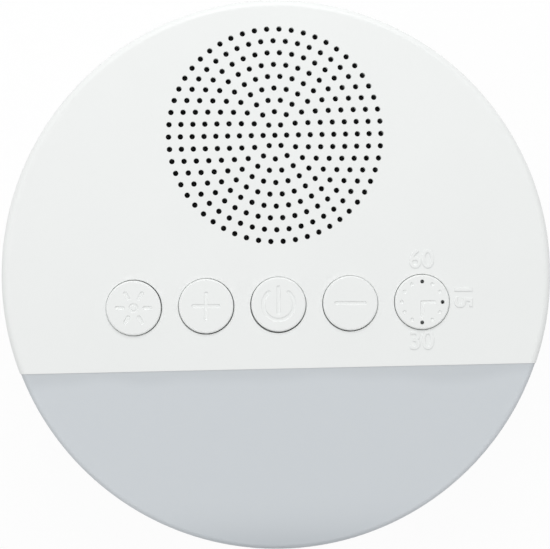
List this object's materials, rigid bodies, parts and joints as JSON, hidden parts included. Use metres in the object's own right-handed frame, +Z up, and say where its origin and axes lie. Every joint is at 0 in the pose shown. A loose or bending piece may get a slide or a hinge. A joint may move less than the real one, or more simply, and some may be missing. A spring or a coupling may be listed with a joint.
{
  "type": "sound machine",
  "caption": "Round bedside sound machine lying on its back, with a drilled speaker grille, a row of push buttons and a frosted night-light window across the lower face.",
  "frame": {"origin": "On the table, under the middle of the case, at the bottom of the feet", "axes": "+Z up out of the face, +Y from the window towards the speaker grille, +X to the right of the face"},
  "size_m": [0.11, 0.11, 0.0446],
  "materials": {
    "white_abs": "fine satin moulded white ABS",
    "frosted_window": "frosted translucent polycarbonate",
    "black_cloth": "thin woven speaker cloth",
    "black_foam": "closed-cell foam ring",
    "black_steel": "pressed steel, black lacquer",
    "zinc_steel": "bright zinc plate",
    "nickel_steel": "nickel-plated steel",
    "ferrite": "sintered ferrite, dull grey",
    "copper": "enamelled copper winding",
    "paper": "pressed black paper pulp",
    "black_rubber": "soft rubber, matt",
    "grey_rubber": "soft silicone, matt",
    "phenolic": "brown phenolic board",
    "green_board": "glass-epoxy board, green mask",
    "white_board": "glass-epoxy board, white mask",
    "black_epoxy": "moulded black epoxy",
    "black_nylon": "moulded black nylon",
    "capacitor_can": "sleeved aluminium can",
    "lamp_epoxy": "clear epoxy over phosphor",
    "clear_acrylic": "clear acrylic",
    "cell_can": "shrink-sleeved steel can",
    "lead_jacket": "soft PVC over twin copper"
  },
  "bodies": {
    "case": {"front_cover": "white_abs", "rear_housing": "white_abs", "light_window": "frosted_window", "grille_cloth": "black_cloth", "speaker_gasket": "black_foam", "speaker_basket": "black_steel", "speaker_top_plate": "zinc_steel", "speaker_magnet": "ferrite", "speaker_yoke": "zinc_steel", "speaker_surround": "black_rubber", "speaker_screws": "zinc_steel", "speaker_terminals": "phenolic", "main_board": "green_board", "board_chips": "black_epoxy", "board_capacitors": "capacitor_can", "board_screws": "zinc_steel", "button_switches": "black_epoxy", "timer_lamps": "lamp_epoxy", "timer_light_guide": "clear_acrylic", "light_board": "white_board", "light_lamps": "lamp_epoxy", "light_reflector": "white_abs", "battery_cell": "cell_can", "battery_holder": "black_nylon", "battery_contacts": "zinc_steel", "usb_socket": "nickel_steel", "usb_tongue": "black_nylon", "charging_board": "green_board", "case_screws": "zinc_steel", "rubber_feet": "grey_rubber", "speaker_lead": "lead_jacket", "battery_lead": "lead_jacket", "light_lead": "lead_jacket", "charging_lead": "lead_jacket"},
    "light_key": {"light_button": "white_abs", "light_plunger": "black_epoxy"},
    "volume_up_key": {"volume_up_button": "white_abs", "volume_up_plunger": "black_epoxy"},
    "power_key": {"power_button": "white_abs", "power_plunger": "black_epoxy"},
    "volume_down_key": {"volume_down_button": "white_abs", "volume_down_plunger": "black_epoxy"},
    "timer_key": {"timer_button": "white_abs", "timer_plunger": "black_epoxy"},
    "cone_assembly": {"speaker_cone": "paper", "dust_cap": "paper", "voice_coil": "copper"}
  },
  "joints": [
    {"name": "light_press", "type": "slide", "parent": "case", "child": "light_key", "axis": [0, 0, -1], "range_m": [0, 0.0005], "stiffness_N_per_m": 1500, "springref_m": -0.0006},
    {"name": "volume_up_press", "type": "slide", "parent": "case", "child": "volume_up_key", "axis": [0, 0, -1], "range_m": [0, 0.0005], "stiffness_N_per_m": 1500, "springref_m": -0.0006},
    {"name": "power_press", "type": "slide", "parent": "case", "child": "power_key", "axis": [0, 0, -1], "range_m": [0, 0.0005], "stiffness_N_per_m": 1500, "springref_m": -0.0006},
    {"name": "volume_down_press", "type": "slide", "parent": "case", "child": "volume_down_key", "axis": [0, 0, -1], "range_m": [0, 0.0005], "stiffness_N_per_m": 1500, "springref_m": -0.0006},
    {"name": "timer_press", "type": "slide", "parent": "case", "child": "timer_key", "axis": [0, 0, -1], "range_m": [0, 0.0005], "stiffness_N_per_m": 1500, "springref_m": -0.0006},
    {"name": "cone_stroke", "type": "slide", "parent": "case", "child": "cone_assembly", "axis": [0, 0, 1], "range_m": [-0.0008, 0.0008], "stiffness_N_per_m": 1200, "deforming": ["speaker_surround"]}
  ]
}
